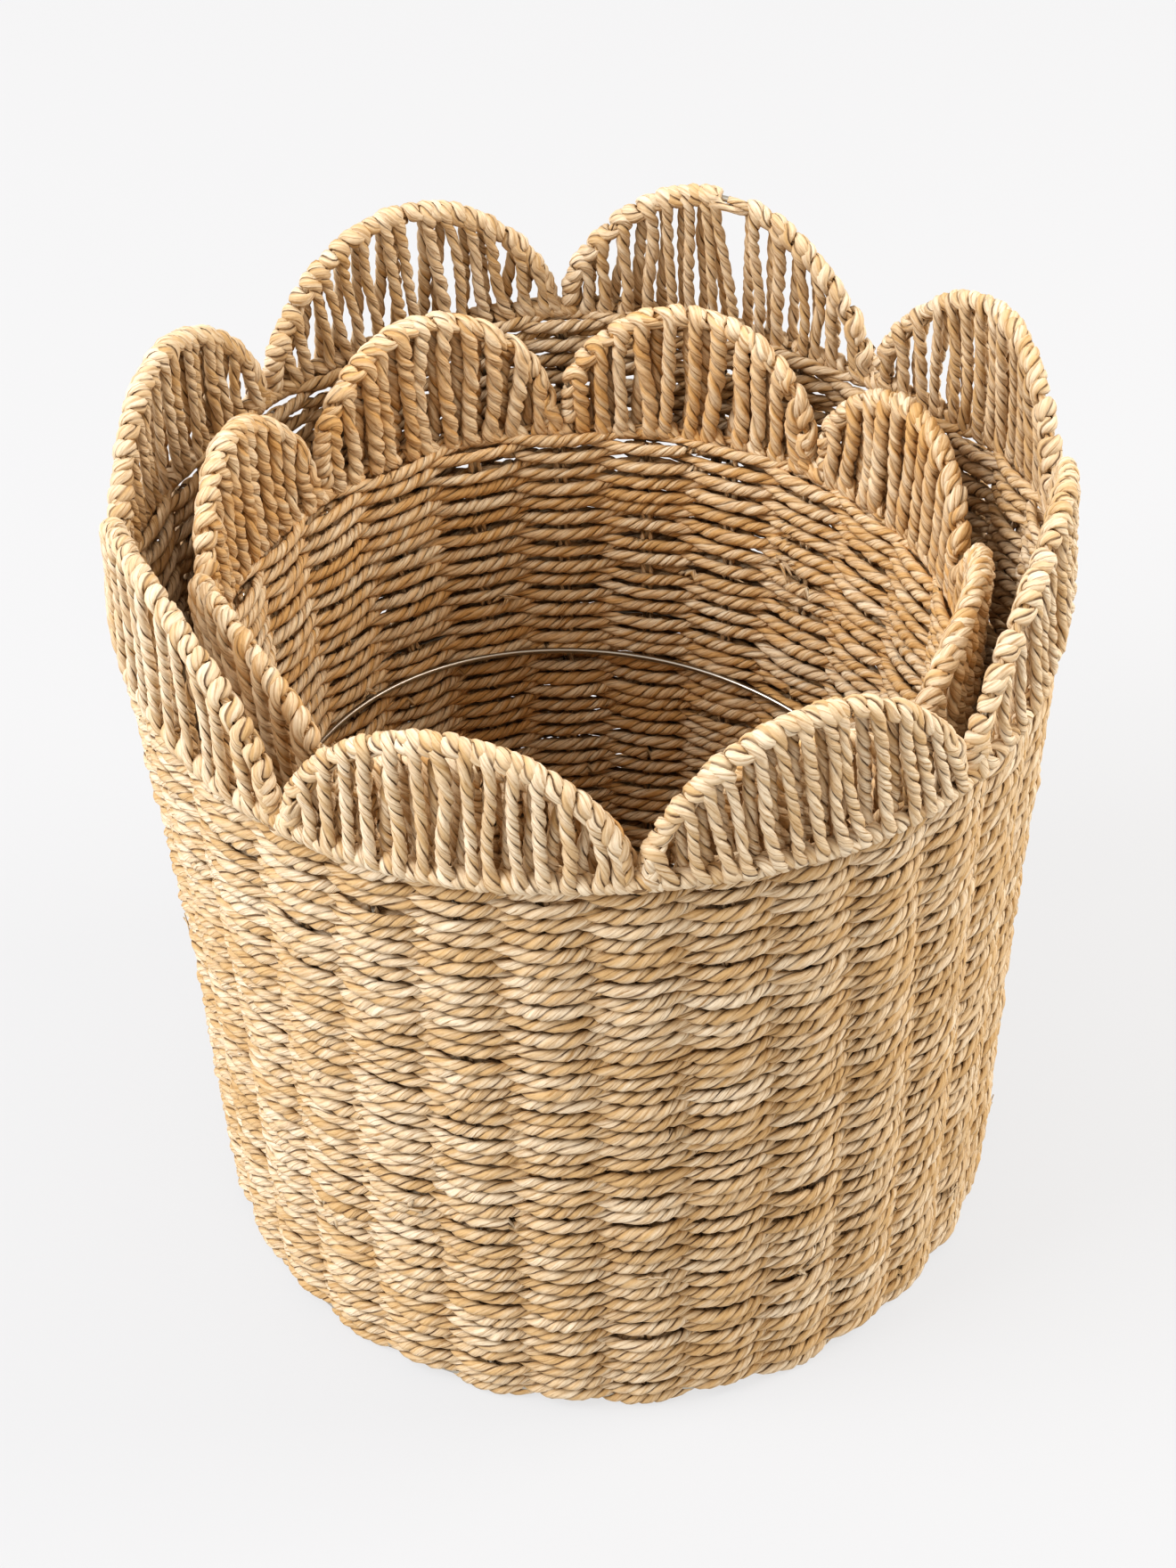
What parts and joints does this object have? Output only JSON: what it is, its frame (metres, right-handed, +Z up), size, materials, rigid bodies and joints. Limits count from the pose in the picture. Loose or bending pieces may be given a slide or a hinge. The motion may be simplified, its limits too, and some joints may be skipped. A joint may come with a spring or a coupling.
{
  "type": "nested laundry basket set",
  "caption": "Round woven laundry basket with a scalloped rim and a smaller matching basket standing inside it, paper rope over a wire frame.",
  "frame": {"origin": "centre of the large basket's underside", "axes": "+Z up along the axis of both baskets; -Y is the side seen nearest in the reference view"},
  "size_m": [0.3984, 0.3984, 0.4112],
  "materials": {
    "outer_paper_rope": "twisted natural paper rope, matt",
    "inner_paper_rope": "twisted natural paper rope, matt",
    "steel_wire": "bare drawn steel wire"
  },
  "bodies": {
    "outer_basket": {"outer_wall_weave": "outer_paper_rope", "outer_floor_weave": "outer_paper_rope", "outer_wire_frame": "steel_wire", "outer_rim_ring": "steel_wire", "outer_inside_hoop": "steel_wire", "outer_scallop_1": "outer_paper_rope", "outer_arch_wire_1": "steel_wire", "outer_scallop_2": "outer_paper_rope", "outer_arch_wire_2": "steel_wire", "outer_scallop_3": "outer_paper_rope", "outer_arch_wire_3": "steel_wire", "outer_scallop_4": "outer_paper_rope", "outer_arch_wire_4": "steel_wire", "outer_scallop_5": "outer_paper_rope", "outer_arch_wire_5": "steel_wire", "outer_scallop_6": "outer_paper_rope", "outer_arch_wire_6": "steel_wire", "outer_scallop_7": "outer_paper_rope", "outer_arch_wire_7": "steel_wire", "outer_scallop_8": "outer_paper_rope", "outer_arch_wire_8": "steel_wire"},
    "inner_basket": {"inner_wall_weave": "inner_paper_rope", "inner_floor_weave": "inner_paper_rope", "inner_wire_frame": "steel_wire", "inner_rim_ring": "steel_wire", "inner_inside_hoop": "steel_wire", "inner_scallop_1": "inner_paper_rope", "inner_arch_wire_1": "steel_wire", "inner_scallop_2": "inner_paper_rope", "inner_arch_wire_2": "steel_wire", "inner_scallop_3": "inner_paper_rope", "inner_arch_wire_3": "steel_wire", "inner_scallop_4": "inner_paper_rope", "inner_arch_wire_4": "steel_wire", "inner_scallop_5": "inner_paper_rope", "inner_arch_wire_5": "steel_wire", "inner_scallop_6": "inner_paper_rope", "inner_arch_wire_6": "steel_wire", "inner_scallop_7": "inner_paper_rope", "inner_arch_wire_7": "steel_wire", "inner_scallop_8": "inner_paper_rope", "inner_arch_wire_8": "steel_wire"}
  },
  "joints": [
    {"name": "inner_basket_lift", "type": "slide", "parent": "outer_basket", "child": "inner_basket", "axis": [0, 0, 1], "range_m": [0, 0.42]}
  ]
}
